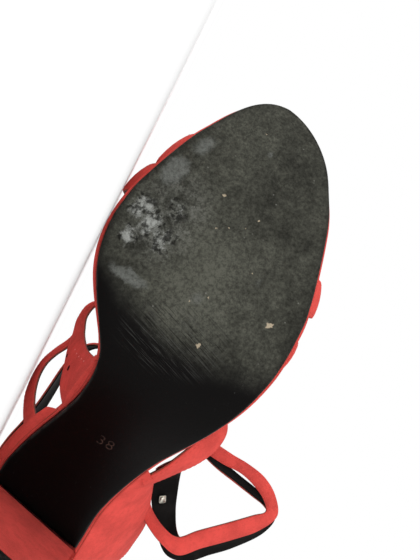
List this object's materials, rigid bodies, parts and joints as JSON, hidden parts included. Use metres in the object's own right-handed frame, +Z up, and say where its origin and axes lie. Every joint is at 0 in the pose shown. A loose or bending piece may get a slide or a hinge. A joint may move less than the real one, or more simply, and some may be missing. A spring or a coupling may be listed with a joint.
{
  "type": "heeled strap sandal",
  "caption": "Left high-heeled sandal lying on its inner side, its slack ankle straps standing out, with a red suede upper and a black sole.",
  "frame": {"origin": "middle of the bounding box's bottom face, on the floor that the sandal lies on", "axes": "+Z up from the floor, -X towards the toe, -Y out of the sole's underside"},
  "size_m": [0.2428, 0.1338, 0.1459],
  "materials": {
    "black_sole": "matt, scuffed",
    "black_lining": "matt",
    "red_suede": "suede",
    "black_tip": "matt",
    "pale_metal": "satin"
  },
  "bodies": {
    "root": {"outsole": "black_sole", "insole": "black_lining", "heel": "red_suede", "heel_tip": "black_tip", "upper": "red_suede", "stud": "pale_metal"}
  },
  "joints": []
}
